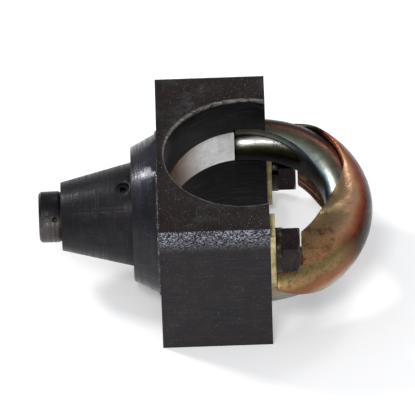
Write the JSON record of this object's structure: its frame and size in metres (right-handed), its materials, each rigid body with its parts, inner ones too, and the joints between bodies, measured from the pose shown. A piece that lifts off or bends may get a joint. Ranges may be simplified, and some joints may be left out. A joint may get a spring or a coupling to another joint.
{
  "type": "scaffold coupler clamp",
  "caption": "Saddle clamp for scaffold tube: open-bored steel block, tapered spigot with sprung lock pin, and a plated hoop drawn on by bolts.",
  "frame": {"origin": "on the scaffold tube's axis at the foot face of the block", "axes": "+Z along the scaffold tube, +X from the spigot towards the hoop, +Y towards the far wing"},
  "size_m": [0.1011, 0.074, 0.046],
  "materials": {
    "black_oxide_block": "sawn steel with a black oxide finish",
    "yellow_zinc_liner": "yellow-passivated zinc plate, worn bright",
    "black_oxide_collar": "turned steel with a black oxide finish",
    "black_oxide_cone": "turned steel with a black oxide finish",
    "ground_steel": "ground dowel steel",
    "bronze": "bored bearing bronze",
    "black_oxide_screw": "black oxide socket set screw",
    "spring_steel": "oiled spring wire",
    "burnished_steel": "turned steel burnished by use",
    "brass": "turned brass",
    "zinc_plated_tube": "bent steel tube, zinc plated with an iridescent passivation",
    "yellow_zinc_strap": "pressed steel, yellow-passivated zinc plate",
    "yellow_zinc_lug": "sheared steel, yellow-passivated zinc plate",
    "black_oxide_bolt": "black oxide fastener steel"
  },
  "bodies": {
    "block": {"saddle_block": "black_oxide_block", "saddle_liner": "yellow_zinc_liner", "spigot_collar": "black_oxide_collar", "spigot_cone": "black_oxide_cone", "near_dowel": "ground_steel", "far_dowel": "ground_steel", "pin_guide_bush": "bronze", "stem_bush": "bronze", "stop_screw": "black_oxide_screw", "pin_spring": "spring_steel"},
    "pin": {"lock_pin": "burnished_steel", "nose_pad": "brass"},
    "hoop": {"hoop_tube": "zinc_plated_tube", "strap_shell": "yellow_zinc_strap", "near_lug": "yellow_zinc_lug", "far_lug": "yellow_zinc_lug", "near_spring_washer": "black_oxide_bolt", "far_spring_washer": "black_oxide_bolt"},
    "near_screw": {"near_bolt": "black_oxide_bolt"},
    "far_screw": {"far_bolt": "black_oxide_bolt"}
  },
  "joints": [
    {"name": "pin_slide", "type": "slide", "parent": "block", "child": "pin", "axis": [1, 0, 0], "range_m": [0, 0.005], "stiffness_N_per_m": 1500, "springref_m": -0.002, "deforming": ["pin_spring"]},
    {"name": "clamp_slide", "type": "slide", "parent": "block", "child": "hoop", "axis": [1, 0, 0], "range_m": [0, 0.005]},
    {"name": "near_bolt_turn", "type": "hinge", "parent": "hoop", "child": "near_screw", "pos_m": [0.0131, -0.02995, 0.03286], "axis": [1, 0, 0], "range_deg": [0, 1440]},
    {"name": "far_bolt_turn", "type": "hinge", "parent": "hoop", "child": "far_screw", "pos_m": [0.0131, 0.02995, 0.01314], "axis": [1, 0, 0], "range_deg": [0, 1440]}
  ],
  "couplings": [
    {"joint": "near_bolt_turn", "follows": "clamp_slide", "rad_per_m": 5026.5},
    {"joint": "far_bolt_turn", "follows": "clamp_slide", "rad_per_m": 5026.5}
  ]
}
